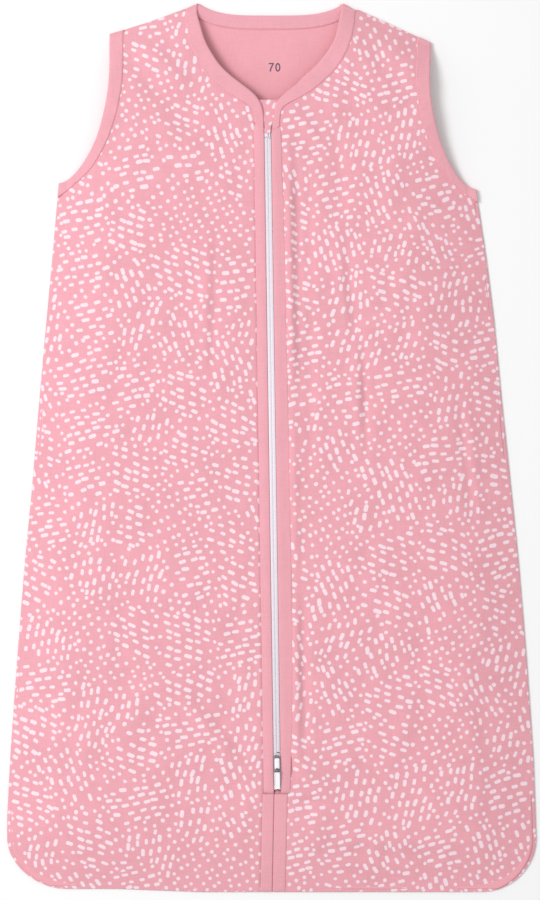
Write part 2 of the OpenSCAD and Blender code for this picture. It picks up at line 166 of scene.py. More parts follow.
def outer_x(y):
    """Half width of the bag's outline at each height y."""
    y = np.asarray(y, float)
    shoulder = HALF_NECK + (HALF_SHOULDER - HALF_NECK) * (Y_TOP - y) / (Y_TOP - Y_TIP)
    t = np.clip((Y_ARM - y) / (Y_ARM - Y_CORNER), 0, 1)
    side = HALF_CHEST + (HALF_HEM - HALF_CHEST) * t + SIDE_BOW * np.sin(math.pi * t)
    corner = HALF_HEM - CORNER_R + np.sqrt(np.maximum(0, CORNER_R ** 2 - (Y_CORNER - y) ** 2))
    below_arm = np.where(y >= Y_CORNER, side, corner)
    return np.where(y >= Y_TIP, shoulder, np.where(y >= Y_ARM, armhole_edge(y), below_arm))


def panel_x(y):
    """Half width of the cloth panels, which run a little under the armhole binding."""
    y = np.asarray(y, float)
    bend = 4.4 * smooth(Y_ARM + 16, Y_JOIN, y) ** 1.5
    return np.where(y < Y_JOIN, outer_x(y), np.minimum(outer_x(y), armhole_seam(y) + bend + 0.8))


def zip_x(y):
    return ZIP_MID_X - np.asarray(y, float) * math.tan(ZIP_LEAN)


def fold_x(y):
    share = (np.asarray(y, float) - FOLD_LOW[1]) / (FOLD_HIGH[1] - FOLD_LOW[1])
    return FOLD_LOW[0] + (FOLD_HIGH[0] - FOLD_LOW[0]) * share


# Free edge and seam of the neck binding on each side, from the shoulder down to the zip
NECK_EDGE = {
    -1: [(-57.8, 349.8), (-58.4, 345.5), (-58.2, 341), (-55.4, 331), (-52.8, 322), (-48.6, 313),
         (-40.8, 301), (-31.7, 292), (-22, 284.5), (-14.5, 278.5), (-9.8, 273), (-7, 266.7), (-5.9, 259),
         (-5.5, 252), (-5.4, 246.8)],
    1: [(53.6, 349.3), (55.4, 346), (54.4, 341), (52.6, 333), (50.3, 322.5), (45.6, 313), (36.2, 301),
        (27, 292.5), (19.6, 285), (12.2, 279.2), (6.3, 273.6), (3.4, 269), (2.6, 263), (1.8, 258),
        (-0.2, 253.2), (-0.7, 247)],
}
NECK_SEAM = {
    -1: [(-67.4, 345.4), (-66, 331), (-63.6, 317.5), (-59.3, 307), (-50, 291), (-39.6, 281.4),
         (-29.4, 274.7), (-20.5, 270), (-16.4, 266), (-14.3, 260.5), (-13.6, 255.6)],
    1: [(66.7, 344.3), (65.1, 329), (61.8, 317), (58, 308), (51.1, 297), (40.9, 287), (30.6, 279),
        (20.8, 273.4), (11.6, 268.8), (8, 264.5), (6.9, 257), (6.9, 252.4)],
}
# Outer line of the right placket from the zip's centre line, by height
PLACKET_RIGHT = [(-271, 9.5), (-238, 11.6), (-200, 13.4), (-100, 13.8), (38, 13), (148, 12.4), (266, 10.2)]
PLACKET_LEFT = 10.8
# Lines of the hem strips: x at the hem and at the zip's foot
STRIP_MIDDLE = (0.9, 2.3)
STRIP_SEAM = {-1: (-8.4, -6.7), 1: (11.1, 12.9)}


def placket_width(side, y):
    """From the zip's centre line to a placket's outer seam."""
    y = np.asarray(y, float)
    if side < 0:
        return np.full_like(y, PLACKET_LEFT)
    heights, widths = np.array(PLACKET_RIGHT).T
    return sum(np.interp(y + d, heights, widths) for d in (-20, -10, 0, 10, 20)) / 5


def strip_edge(y, low, high):
    """One edge of a hem strip, by its x at the hem and at the zip's foot."""
    return low + (high - low) * (np.asarray(y, float) - Y_HEM) / (Y_STRIP - Y_HEM)


def front_neck_seam(side):
    """The neck seam above the zip, upwards: heights, and distances out from X = 0."""
    seam = spline(NECK_SEAM[side], 160)[::-1]
    seam = seam[seam[:, 1] > Y_NECK_SEAM]
    return seam[:, 1], side * seam[:, 0]


def seam_inner(side):
    """Inner boundary of a front panel as (height, distance out from X = 0), from hem to shoulder."""
    low = np.linspace(Y_HEM, Y_STRIP, 6)
    foot = side * strip_edge(low, *STRIP_SEAM[side])
    high = np.linspace(Y_STRIP + 2, Y_NECK, 60)
    run = placket_width(side, high) + side * zip_x(high)
    neck_heights, neck_widths = front_neck_seam(side)
    return np.concatenate([low, high, neck_heights]), np.concatenate([foot, run, neck_widths])


def back_neck_y(t, inset):
    """Height of the back neck's edge, or of a line inset below it, for t from -1 to 1 across it."""
    return Y_TOP - BACK_DROP * (1 - np.abs(t) ** 4) - inset * (1 - 0.48 * np.abs(t) ** 3)


# ---------------------------------------------------------------- the shape of the cloth
def lift(x, y):
    """How far the front has risen, from 0 on a seam to 1 where it is level."""
    from_arm = np.hypot(np.abs(x) - HALF_CHEST, y - Y_ARM)
    side_d = np.where(y > Y_ARM, from_arm, outer_x(y) - np.abs(x))
    shoulder_d, _ = segment(np.abs(x), y, (HALF_NECK, Y_TOP), (HALF_SHOULDER, Y_TIP))
    return ease(side_d / SIDE_RISE) * ease((y - Y_HEM) / SIDE_RISE) * ease(shoulder_d / SHOULDER_RISE)


# Soft folds in the front: start, end, width across, height (negative is a hollow)
FOLDS = [
    # beside the zip
    ((13.5, 236), (16.5, 40), 3.0, 0.8), ((17, 40), (19.5, -100), 3.0, 0.6),
    ((20, -120), (20.5, -240), 3.0, 0.8), ((20, 240), (23, 40), 3.6, -0.7),
    ((24.5, -110), (27, -245), 3.6, -0.7), ((29, 235), (31, -40), 5, -0.6), ((24, 255), (40, 238), 3, 0.5),
    # down the right side and the left side
    ((52, 250), (56, 180), 6, -0.6), ((58, 170), (66, 86), 4.5, -0.5), ((52, 168), (59, 90), 4.5, 0.4),
    ((72, 84), (75, -8), 3, -0.6), ((66, 86), (69, -4), 4, 0.5), ((147, 40), (157, -60), 4, -0.6),
    ((153, 44), (163, -52), 4, 0.5), ((110, -120), (120, -240), 8, -0.4), ((150, -180), (164, -290), 7, 0.45),
    ((-43, 170), (-46, 60), 3, -0.55), ((-50, 172), (-53, 62), 4, 0.5),
    ((-120, -60), (-112, -200), 8, -0.35), ((-160, -150), (-170, -290), 7, 0.4),
    # at the foot of the zip and along the hem
    ((-62, -192), (-18, -241), 3.5, -1.0), ((-68, -201), (-24, -248), 4, 0.8),
    ((17, -276), (46, -277.5), 1.8, -0.7), ((19, -271.5), (44, -272.5), 2.2, 0.4),
    ((16, -236), (34, -262), 2.6, 0.7), ((13, -240), (19, -262), 1.6, -0.6),
    ((30, -318), (140, -323), 6, -0.7), ((40, -307), (150, -311), 6, 0.5),
    # at the shoulders
    ((-118, 305), (-80, 270), 7, -0.8), ((-104, 316), (-66, 284), 7, 0.9), ((-88, 262), (-34, 251), 7, -0.6),
    ((-112, 262), (-70, 240), 8, 0.5), ((74, 318), (112, 282), 8, -0.6), ((84, 332), (112, 300), 8, 0.5),
    ((60, 262), (100, 250), 9, -0.4),
]
FOLD_SIZE = 2.4


def folds(x, y):
    z = np.zeros_like(x)
    for a, b, width, height in FOLDS:
        d, t = segment(x, y, a, b)
        along = np.sin(math.pi * np.clip(t, 0.02, 0.98)) ** 0.5
        z += FOLD_SIZE * height * np.exp(-(d / width) ** 2) * along
    return z


def waves(seed, low, high, count):
    """A gentle uneven surface: count plane waves between two wavelengths, the same each run."""
    pick = np.random.default_rng(seed)
    turn = pick.uniform(0, math.pi, count)
    k = 2 * math.pi / np.exp(pick.uniform(math.log(low), math.log(high), count))
    phase = pick.uniform(0, 2 * math.pi, count)
    size = k.min() / k / math.sqrt(count)

    def field(x, y):
        z = np.zeros_like(x)
        for angle, n, p, a in zip(turn, k, phase, size):
            z += a * np.sin(n * (x * math.cos(angle) + y * math.sin(angle)) + p)
        return z
    return field


broad = waves(11, 70, 190, 14)
fine = waves(12, 14, 34, 30)
back_broad = waves(21, 60, 170, 14)
back_fine = waves(22, 12, 30, 26)
pucker_field = waves(31, 5, 9, 24)


def front_z(x, y):
    """Height of the middle of the front cloth."""
    x, y = np.asarray(x, float), np.asarray(y, float)
    level = lift(x, y)
    off_zip = np.abs(x - zip_x(y))
    uneven = 0.75 * broad(x, y) * smooth(9, 34, off_zip) + 0.45 * fine(x, y) * smooth(9, 26, off_zip)
    return SEAM_Z + (FRONT_Z - SEAM_Z) * level + (uneven + folds(x, y)) * level


def back_z(x, y):
    """Height of the middle of the back cloth, which lies on the ground."""
    x, y = np.asarray(x, float), np.asarray(y, float)
    edge = 1 - smooth(0, 16, outer_x(y) - np.abs(x))
    dimple = 0.16 + 0.16 * back_broad(x, y) + 0.1 * back_fine(x, y)
    return BACK_Z + np.clip(dimple, 0, 0.5) + 0.15 * edge


def lining_z(x, y):
    """The lining hangs deeper where the flap folds, so that both layers can bend, but not at its seams."""
    front = front_z(x, y)
    near_fold = np.exp(-((x - fold_x(y) + FOLD_WIDTH / 2) / 6) ** 2)
    from_seam, _ = segment(x, y, NECK_SEAM[1][6], NECK_SEAM[1][2])
    slack = LINING_SLACK * near_fold * smooth(Y_STRIP - 5, Y_STRIP + 10, y) * smooth(0, 12, from_seam)
    return front - 1.0 - np.minimum(slack, np.maximum(front - 4.0, 0))


def back_lining_z(x, y):
    """The back lining lies loosely on the back, and goes under the back neck's binding."""
    x, y = np.asarray(x, float), np.asarray(y, float)
    loose = BACK_LINING_Z + 0.35 + 0.35 * back_broad(x + 40, y) + 0.12 * back_fine(x, y + 30)
    below_seam = back_neck_y(np.clip(np.abs(x) / (HALF_NECK + BACK_FLARE), 0, 1), BINDING_W) - y
    return BACK_BAND_Z + (loose - BACK_BAND_Z) * smooth(-1, 7, below_seam)


# ---------------------------------------------------------------- meshes
# How far each side of the real bag lies off the even outline: height, across, up
LIE = {
    -1: [(-350, 4.5, 2.5), (-338, 3, 1.5), (-318, 0.5, 0), (-290, -1.2, 0), (-240, -2, 0), (-170, -2, 0),
         (-90, -1.8, 0), (-30, -1, 0), (60, -1.5, 0), (150, -1.9, 0), (192, -2.4, 0), (206, -2.2, 2.4),
         (240, 0.2, 2.6), (280, 0, 3), (322, -0.9, 3.6), (350, 1.5, 1)],
    1: [(-350, 0, 0), (-300, 1, 0), (-246, 2.7, 0), (-170, 2.9, 0), (-90, 2.4, 0), (-30, 1.2, 0), (38, 0, 0),
        (100, 0, 0), (150, -1.4, 0), (190, -2.9, -3.6), (206, -3.7, -2.4), (240, -3.8, -2.6),
        (280, -3, -2.8), (322, -0.6, -3.3), (350, -0.4, -2)],
}


def as_laid(points):
    """Points moved to the slightly uneven outline that the bag lies in, with nothing moved near the zip."""
    points = np.array(points, float)
    x, y = points[:, 0].copy(), points[:, 1].copy()
    for side in (-1, 1):
        heights, across, up = np.array(LIE[side]).T
        on_side = side * x > 0
        far = smooth(45, 130, side * x) * on_side
        rise = np.clip((side * x - 56) / 70, 0, 1) * on_side
        points[:, 0] += far * np.interp(y, heights, across)
        points[:, 1] += rise * np.interp(y, heights, up)
    return points


def mesh_object(name, verts, faces, material, uvs=None, flat_faces=0):
    """A mesh object from millimetre points. The last flat_faces faces keep flat shading."""
    mesh = bpy.data.meshes.new(name)
    mesh.from_pydata((as_laid(verts) * MM).tolist(), [], [tuple(int(i) for i in face) for face in faces])
    if uvs is not None:
        layer = mesh.uv_layers.new(name="flat")
        index = np.zeros(len(mesh.loops), int)
        mesh.loops.foreach_get("vertex_index", index)
        layer.data.foreach_set("uv", np.asarray(uvs, float)[index].ravel())
    mesh.polygons.foreach_set("use_smooth", [True] * (len(faces) - flat_faces) + [False] * flat_faces)
    mesh.update()
    mesh.validate()
    piece = bpy.data.objects.new(name, mesh)
    bpy.context.scene.collection.objects.link(piece)
    piece.data.materials.append(material)
    return piece


def ring_faces(levels, count, flip=False):
    """Faces round a stack of levels rings with count points each."""
    grid = np.arange(levels * count).reshape(levels, count)
    right = np.roll(grid, -1, axis=1)
    corners = [grid[:-1], grid[1:], right[1:], right[:-1]]
    if flip:
        corners = [grid[:-1], right[:-1], right[1:], grid[1:]]
    return grid, np.stack(corners, axis=-1).reshape(-1, 4).tolist()


def joined(parts):
    """Points and faces of several parts, as one."""
    verts, faces = [], []
    for more, extra in parts:
        faces += [tuple(int(i) + len(verts) for i in face) for face in extra]
        verts += np.asarray(more).tolist()
    return np.array(verts), faces


def shell(name, middle, uv, thickness, material):
    """A closed sheet of cloth round a grid of middle points, with its cut's own coordinates as UVs."""
    rows, cols = middle.shape[:2]
    normal = np.cross(np.gradient(middle, axis=1), np.gradient(middle, axis=0))
    size = np.linalg.norm(normal, axis=2, keepdims=True)
    normal = np.where(size > 1e-9, normal / np.maximum(size, 1e-9), [0, 0, 1])
    half = np.full((rows, cols, 1), thickness / 2)
    half[[0, -1]] *= 0.6
    half[:, [0, -1]] *= 0.6
    verts = np.concatenate([(middle + normal * half).reshape(-1, 3), (middle - normal * half).reshape(-1, 3)])
    n = rows * cols
    grid = np.arange(n).reshape(rows, cols)
    quads = np.stack([grid[:-1, :-1], grid[:-1, 1:], grid[1:, 1:], grid[1:, :-1]], axis=-1).reshape(-1, 4)
    rim = np.concatenate([grid[0, :], grid[1:, -1], grid[-1, -2::-1], grid[-2:0:-1, 0]])
    after = np.roll(rim, -1)
    sides = np.stack([rim, rim + n, after + n, after], axis=-1)
    faces = np.concatenate([quads, quads[:, ::-1] + n, sides])
    flat_uv = np.concatenate([uv.reshape(-1, 2)] * 2)
    return mesh_object(name, verts, faces.tolist(), material, flat_uv, flat_faces=len(sides))


def cut_uv(middle, shift=(0.0, 0.0)):
    """Flat coordinates of a grid, in millimetres: the plan, opened out where the cloth slopes."""
    x, y, z = middle[..., 0], middle[..., 1], middle[..., 2]
    step = np.hypot(np.diff(x, axis=1), np.diff(z, axis=1)) * np.sign(np.diff(x, axis=1))
    anchor = int(np.argmin(np.abs(x[x.shape[0] // 2])))
    along = np.concatenate([np.zeros((x.shape[0], 1)), np.cumsum(step, axis=1)], axis=1)
    u = along - along[:, anchor:anchor + 1] + x[:, anchor:anchor + 1]
    return np.stack([u + shift[0], y + shift[1]], axis=-1)


def span(inner, outer, rows, cols, side):
    """Plan positions of a grid between two boundary functions of y, on one side of the bag."""
    s = 1 - (1 - np.linspace(0, 1, cols)) ** 1.25
    a, b = inner(rows)[:, None], outer(rows)[:, None]
    x = side * (a + (b - a) * s[None, :])
    y = np.repeat(rows[:, None], cols, axis=1)
    return (x[:, ::-1], y[:, ::-1]) if side < 0 else (x, y)


def with_height(x, y, height):
    return np.stack([x, y, height(x, y)], axis=-1)


def puckered(middle, edge_columns=6, size=0.16):
    """Small puckers along the first and last columns, where the cloth is sewn."""
    cols = middle.shape[1]
    near = np.minimum(np.arange(cols), cols - 1 - np.arange(cols))
    fade = np.clip(1 - near / edge_columns, 0, 1) * (near > 0)
    middle[..., 2] += size * fade[None, :] * pucker_field(middle[..., 0], middle[..., 1])
    return middle


def band(name, edge, seam, height, material, thick, seam_share=0.5, crown=0.0, wave=0.0):
    """A folded strip between its free edge and its seam, round at the free edge.

    edge and seam are lines with the same number of points. thick is how far the strip stands above and
    below the cloth's middle, and seam_share how much of that is left at the seam.
    """
    u = np.array([1.0, 0.975, 0.94, 0.86, 0.68, 0.46, 0.26, 0.12, 0.045, 0.0])
    width = np.linalg.norm(seam - edge, axis=1)
    rounded = np.clip(u[None, :] * width[:, None] / thick[0], 0, 1)
    at_seam = seam_share + (1 - seam_share) * smooth(0, 0.065, 1 - u)
    profile = np.sqrt(1 - (1 - rounded) ** 2) * at_seam[None, :] * (1 + crown * np.sin(math.pi * u)[None, :])
    plan = edge[:, None, :] + (seam - edge)[:, None, :] * u[None, :, None]
    mid = height(plan[..., 0], plan[..., 1])
    ripple = wave * pucker_field(plan[..., 0], plan[..., 1]) * smooth(0, 0.35, u)[None, :]
    over = np.dstack([plan, mid + profile * thick[0] + ripple])
    under = np.dstack([plan, mid - profile * thick[1] + ripple * 0.5])[:, -2::-1]
    ring = np.concatenate([over, under], axis=1)
    grid, quads = ring_faces(*ring.shape[:2])
    run = np.concatenate([[0], np.cumsum(np.linalg.norm(np.diff(edge, axis=0), axis=1))])
    across = np.concatenate([u, 2 - u[-2::-1]])[None, :] * width[:, None]
    uv = np.dstack([across, np.repeat(run[:, None], ring.shape[1], axis=1)]).reshape(-1, 2)
    quads += [grid[0].tolist(), grid[-1][::-1].tolist()]
    return mesh_object(name, ring.reshape(-1, 3), quads, material, uv, flat_faces=2)


def stitch_line(path, pitch=2.6, length=1.9, radius=0.19):
    """Points and faces of a row of short stitches along a path, each bedded at both ends."""
    path = np.asarray(path, float)
    count = max(2, int(np.linalg.norm(np.diff(path, axis=0), axis=1).sum() / pitch))
    halves = evenly(path, count * 2 + 1)
    heads = halves[2::2] - halves[:-2:2]
    heads /= np.linalg.norm(heads, axis=1, keepdims=True)
    stops = ((-0.5, 0.45, -0.16), (-0.3, 1, 0.02), (0.3, 1, 0.02), (0.5, 0.45, -0.16))
    parts = []
    for centre, ahead in zip(halves[1::2], heads):
        across = np.cross(ahead, [0, 0, 1])
        across /= max(np.linalg.norm(across), 1e-9)
        up = np.cross(across, ahead)
        verts = []
        for share, fat, rise in stops:
            for angle in math.pi * np.arange(6) / 3:
                out = across * math.cos(angle) + up * math.sin(angle) * 0.8
                verts.append(centre + ahead * share * length + up * rise + out * radius * fat)
        grid, faces = ring_faces(4, 6, flip=True)
        parts.append((verts, faces + [grid[0][::-1].tolist(), grid[-1].tolist()]))
    return joined(parts)


def stitching(name, paths, material, **how):
    """One piece from several stitch lines."""
    return mesh_object(name, *joined([stitch_line(path, **how) for path in paths]), material)


# ---------------------------------------------------------------- materials
class Value:
    """A number in a node tree. Ordinary arithmetic on it adds Math nodes."""

    def __init__(self, nodes, socket):
        self.nodes, self.socket = nodes, socket

    def __add__(self, other):
        return self.nodes.math("ADD", self, other)

    def __sub__(self, other):
        return self.nodes.math("SUBTRACT", self, other)

    def __rsub__(self, other):
        return self.nodes.math("SUBTRACT", other, self)

    def __mul__(self, other):
        return self.nodes.math("MULTIPLY", self, other)

    def __truediv__(self, other):
        return self.nodes.math("DIVIDE", self, other)

    __radd__, __rmul__ = __add__, __mul__


class Nodes:
    """A short way to write a material's nodes."""

    def __init__(self, name):
        self.material = bpy.data.materials.new(name)
        self.material.use_nodes = True
        self.tree = self.material.node_tree
        self.shader = self.tree.nodes["Principled BSDF"]

    def put(self, value, socket):
        if isinstance(value, Value):
            value = value.socket
        if isinstance(value, bpy.types.NodeSocket):
            self.tree.links.new(value, socket)
        else:
            socket.default_value = value

    def add(self, kind, inputs=None, **settings):
        node = self.tree.nodes.new(kind)
        for key, value in settings.items():
            setattr(node, key, value)
        for key, value in (inputs or {}).items():
            self.put(value, node.inputs[key])
        return node

    def math(self, operation, a, b=0.0):
        return Value(self, self.add("ShaderNodeMath", {0: a, 1: b}, operation=operation).outputs[0])

    def vector_math(self, operation, a, b):
        return self.add("ShaderNodeVectorMath", {0: a, 1: b}, operation=operation).outputs[0]

    def mix(self, factor, a, b):
        return self.add("ShaderNodeMix", {0: factor, 6: a, 7: b}, data_type="RGBA").outputs[2]

    def noise(self, vector, scale, detail, dimensions="3D", **more):
        return self.add("ShaderNodeTexNoise", {"Vector": vector, "Scale": scale, "Detail": detail, **more},
                        noise_dimensions=dimensions)

    def cells(self, vector, pitch, randomness, feature="F1"):
        inputs = {"Vector": vector, "Scale": 1 / pitch, "Randomness": randomness}
        return self.add("ShaderNodeTexVoronoi", inputs, voronoi_dimensions="2D", feature=feature)

    def parts(self, vector):
        """A vector's X and Y."""
        split = self.add("ShaderNodeSeparateXYZ", {"Vector": vector})
        return Value(self, split.outputs["X"]), Value(self, split.outputs["Y"])

    def point(self, x, y):
        return self.add("ShaderNodeCombineXYZ", {"X": x, "Y": y}).outputs[0]

    def chances(self, cells):
        """Three random numbers that are the same all over a cell."""
        split = self.add("ShaderNodeSeparateColor", {"Color": cells.outputs["Color"]})
        return [Value(self, socket) for socket in split.outputs]

    def length(self, x, y):
        return self.math("SQRT", x * x + y * y)

    def stretched(self, value, low, high):
        """A value with low brought to 0 and high to 1."""
        node = self.add("ShaderNodeMapRange", {"Value": value, "From Min": low, "From Max": high})
        return Value(self, node.outputs[0])

    def set(self, **values):
        for key, value in values.items():
            self.put(value, self.shader.inputs[key.replace("_", " ")])


def rgb(red, green, blue):
    """An sRGB colour from 0 to 255, as a linear one."""
    def linear(v):
        v /= 255
        return v / 12.92 if v <= 0.04045 else ((v + 0.055) / 1.055) ** 2.4
    return (linear(red), linear(green), linear(blue), 1.0)


def darkened(colour, share):
    return tuple(c * (1 - share) for c in colour[:3]) + (1,)


# The print, in millimetres of flat cloth. Each patch has dashes that keep one of four directions.
PATCH, PATCH_BORDER, PATCH_RANDOMNESS = 40.0, 4.4, 0.85
DASH_ALONG, DASH_ACROSS, DASH_SLANT = 8.7, 6.1, 0.36
DASH_TURNS = ((0.0, 110), (0.3, 156), (0.5, 12), (0.74, 76))    # patch's chance from, degrees
DASH_HALF, DASH_RADIUS, DASH_JITTER = 0.9, 1.12, 0.28
DOT_PITCH, DOT_TURN, DOT_RADIUS = 6.7, math.radians(31), 1.3
DOTTED_PATCH = 0.9                                      # patches with a chance over this have dots only
WARP = 6.0                                              # how far the patches' borders wander
NOWHERE = 20.0


def turned(n, vector, angle):
    """A flat vector's parts along and across a direction given in radians."""
    x, y = n.parts(vector)
    c, s = n.math("COSINE", angle), n.math("SINE", angle)
    return x * c + y * s, y * c - x * s


def patch_chances(n, at):
    return n.chances(n.cells(at, PATCH, PATCH_RANDOMNESS))


def border_distance(n, at):
    """Distance in millimetres to the border of the patch."""
    cell = n.cells(at, PATCH, PATCH_RANDOMNESS, "DISTANCE_TO_EDGE")
    return Value(n, cell.outputs["Distance"]) * PATCH


def dash_gap(n, at):
    """Distance from a point to the edge of the nearest dash of its own patch."""
    patch, kind, _ = patch_chances(n, at)
    ramp = n.add("ShaderNodeValToRGB", {"Fac": patch})
    ramp.color_ramp.interpolation = "CONSTANT"
    stops = ramp.color_ramp.elements
    stops.remove(stops[1])
    for share, degrees in DASH_TURNS:
        stop = stops.new(share) if share else stops[0]
        stop.color = (degrees / 180,) * 3 + (1,)
    angle = Value(n, ramp.outputs["Color"]) * math.pi
    along, across = turned(n, at, angle)
    # Dashes stand in slanting rows, further apart along their own direction
    row = across / DASH_ACROSS
    cell = n.cells(n.point(along / DASH_ALONG + row * DASH_SLANT, row), 1.0, 0.4)
    turn_chance, size_chance, fat_chance = n.chances(cell)
    cell_x, cell_y = n.parts(cell.outputs["Position"])
    middle_along, middle_across = (cell_x - cell_y * DASH_SLANT) * DASH_ALONG, cell_y * DASH_ACROSS
    off = n.point(along - middle_along, across - middle_across)
    beside_along, beside_across = turned(n, off, (turn_chance - 0.5) * DASH_JITTER)
    half = DASH_HALF + size_chance * 0.75
    radius = DASH_RADIUS + size_chance * 0.25 + fat_chance * 0.2
    past = n.math("MAXIMUM", n.math("ABSOLUTE", beside_along) - half, 0.0)
    # Back to the cloth, to see whether the dash's middle lies well inside the same patch
    c, s = n.math("COSINE", angle), n.math("SINE", angle)
    centre = n.point(middle_along * c - middle_across * s, middle_along * s + middle_across * c)
    same = n.math("LESS_THAN", n.math("ABSOLUTE", patch_chances(n, centre)[0] - patch), 0.0005)
    inside = n.math("GREATER_THAN", border_distance(n, centre), PATCH_BORDER)
    dotted = n.math("GREATER_THAN", kind, DOTTED_PATCH)
    real = same * inside * (1.0 - dotted)
    return n.length(past, beside_across) - radius + (1.0 - real) * NOWHERE


def print_marks(n, coords):
    """How much of the pale print covers each point: dashes inside the patches, and dots between them."""
    bend = n.noise(coords, 0.021, 1.0, "2D").outputs["Color"]
    at = n.vector_math("ADD", coords, n.vector_math("MULTIPLY", bend, (WARP,) * 3))
    dashes = dash_gap(n, at)
    dot_cell = n.cells(n.point(*turned(n, at, DOT_TURN)), DOT_PITCH, 0.45)
    middle = n.point(*turned(n, dot_cell.outputs["Position"], -DOT_TURN))
    radius = DOT_RADIUS + n.chances(dot_cell)[2] * 0.3
    clear = n.math("GREATER_THAN", dash_gap(n, middle), radius + 0.9)
    between = n.math("LESS_THAN", border_distance(n, middle), PATCH_BORDER + 1.5)
    dotted = n.math("GREATER_THAN", patch_chances(n, middle)[1], DOTTED_PATCH)
    wanted = clear * n.math("MAXIMUM", between, dotted)
    away = n.length(*n.parts(n.vector_math("SUBTRACT", at, middle)))
    dots = away - radius + (1.0 - wanted) * NOWHERE
    ragged = Value(n, n.noise(coords, 0.9, 2.0).outputs["Fac"])
    return n.stretched(n.math("MINIMUM", dashes, dots) - (ragged - 0.5) * 0.5, 0.22, -0.24)


def weave(n, coords, thread):
    """Height of a plain weave whose threads are thread millimetres apart."""
    inputs = {"Vector": coords, "Scale": 0.314 / thread / 2, "Distortion": 0.6, "Detail": 1.0}
    warp, weft = (n.add("ShaderNodeTexWave", inputs, bands_direction=way).outputs["Fac"] for way in "XY")
    return (Value(n, warp) + weft) * 0.5


def streaks(n, coords, along, across):
    """Uneven threads: noise drawn out along one direction of the cloth."""
    x, y = n.parts(coords)
    return Value(n, n.noise(n.point(x * along, y * across), 1.1, 3.0, "2D", Roughness=0.6).outputs["Fac"])


def cloth_material(name, colour, thread=0.42, bump=0.25, marks=None, tone=0.05, rough=0.86):
    """Woven cotton: threads, slubs, uneven dye, a soft sheen, and the print if marks gives its colour."""
    n = Nodes(name)
    coords = n.add("ShaderNodeUVMap", uv_map="flat").outputs["UV"]
    threads = weave(n, coords, thread)
    slub = streaks(n, coords, 1.0, 0.07) * 0.5 + streaks(n, coords, 0.07, 1.0) * 0.5
    cloud = Value(n, n.noise(coords, 0.03, 4.0).outputs["Fac"])
    dark = darkened(colour, 2.2 * tone)
    light = tuple(min(1, c * (1 + 1.6 * tone)) for c in colour[:3]) + (1,)
    shade = n.mix(n.stretched(cloud * 0.35 + slub * 0.65, 0.3, 0.7), dark, light)
    shade = n.mix((1.0 - threads) * 0.2, shade, dark)
    if marks is not None:
        shade = n.mix(print_marks(n, coords) * (0.84 + threads * 0.14), shade, marks)
    relief = threads * 0.5 + slub * 1.4
    rise = n.add("ShaderNodeBump", {"Strength": bump, "Distance": 0.0002, "Height": relief})
    n.set(Base_Color=shade, Roughness=rough, Normal=rise.outputs["Normal"], Sheen_Weight=0.25,
          Sheen_Roughness=0.5, Specular_IOR_Level=0.2)
    return n.material


def hard_material(name, colour, rough, coat=0.0, grain=3000.0, bump=0.04, metal=0.0):
    """Smooth nylon or lacquer, with a faint unevenness in its gloss."""
    n = Nodes(name)
    coords = n.add("ShaderNodeTexCoord").outputs["Object"]
    speck = Value(n, n.noise(coords, grain, 2.0).outputs["Fac"])
    rise = n.add("ShaderNodeBump", {"Strength": bump, "Distance": 0.0001, "Height": speck})
    n.set(Base_Color=n.mix(speck, darkened(colour, 0.07), colour), Roughness=speck * 0.08 + (rough - 0.04),
          Normal=rise.outputs["Normal"], Coat_Weight=coat, Coat_Roughness=0.15, Metallic=metal)
    return n.material


printed = cloth_material("printed_cotton", rgb(235, 167, 178), marks=rgb(247, 225, 233))
plain = cloth_material("plain_cotton", rgb(235, 168, 179), thread=0.36, tone=0.04)
jersey = cloth_material("lining_jersey", rgb(238, 168, 178), thread=0.55, tone=0.04, bump=0.3)
thread_pink = cloth_material("thread_pink", rgb(222, 145, 160), thread=0.2, tone=0.05, rough=0.7)
thread_pale = cloth_material("thread_pale", rgb(252, 214, 216), thread=0.2, tone=0.03, rough=0.7)
tape_cloth = hard_material("zip_tape_cloth", rgb(240, 234, 244), 0.75, grain=1800.0, bump=0.3)
nylon = hard_material("zip_nylon", rgb(243, 235, 243), 0.42)
lacquer = hard_material("white_lacquer", rgb(250, 248, 250), 0.22, coat=0.5)
# Dark grey for the slider's plates, lug and the pull's arms: painted shade, standing in for the dark gaps
# round the white cap and pull.
shade_grey_metal = hard_material("painted_shade_grey", rgb(128, 124, 130), 0.4, metal=0.6)
ink = hard_material("size_ink", rgb(112, 92, 112), 0.7)

# ---------------------------------------------------------------- what each piece belongs to
OVER_FOLD = "over_fold"


def settle(piece, slot, body, *nodes):
    """Hide the CAD nodes that a piece stands for, and parent the piece to its body's empty. Its slot is not
    used.

    A piece that goes OVER_FOLD only has its transform baked into its mesh, and is not parented to a body.
    """
    if nodes:
        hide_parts(*nodes)
    if body == OVER_FOLD:
        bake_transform(piece)
    else:
        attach(piece, body)


def declare_sheet(piece):
    """Read the flat coordinates of a sheet of cloth and scale them to metres; nothing is declared from them.
    """
    uv = np.zeros(len(piece.data.loops) * 2)
    piece.data.uv_layers["flat"].data.foreach_get("uv", uv)
    uv = uv.reshape(-1, 2) * MM


# ---------------------------------------------------------------- cloth panels
def front_panel(name, side, cols, shift):
    heights, widths = seam_inner(side)
    top = Y_TOP - 4.6
    rows = np.concatenate([Y_HEM + np.array([0, 0.5, 1.1, 1.9]),
                           np.linspace(Y_HEM + 3.1, top, int((top - Y_HEM) / 3.2))])
    x, y = span(lambda v: np.interp(v, heights, widths) - 0.8, panel_x, rows, cols, side)
    middle = puckered(with_height(x, y, front_z))
    return shell(name, middle, cut_uv(middle, shift), CLOTH_T, printed)


left_panel = front_panel("front_panel_left", -1, 74, (0, 0))
settle(left_panel, "print_fabric", "bag", "front_left_panel")
declare_sheet(left_panel)
right_panel = front_panel("front_panel_right", 1, 120, (37, 8.7))
settle(right_panel, "print_fabric", OVER_FOLD, "front_right_panel", "flap_panel")
declare_sheet(right_panel)


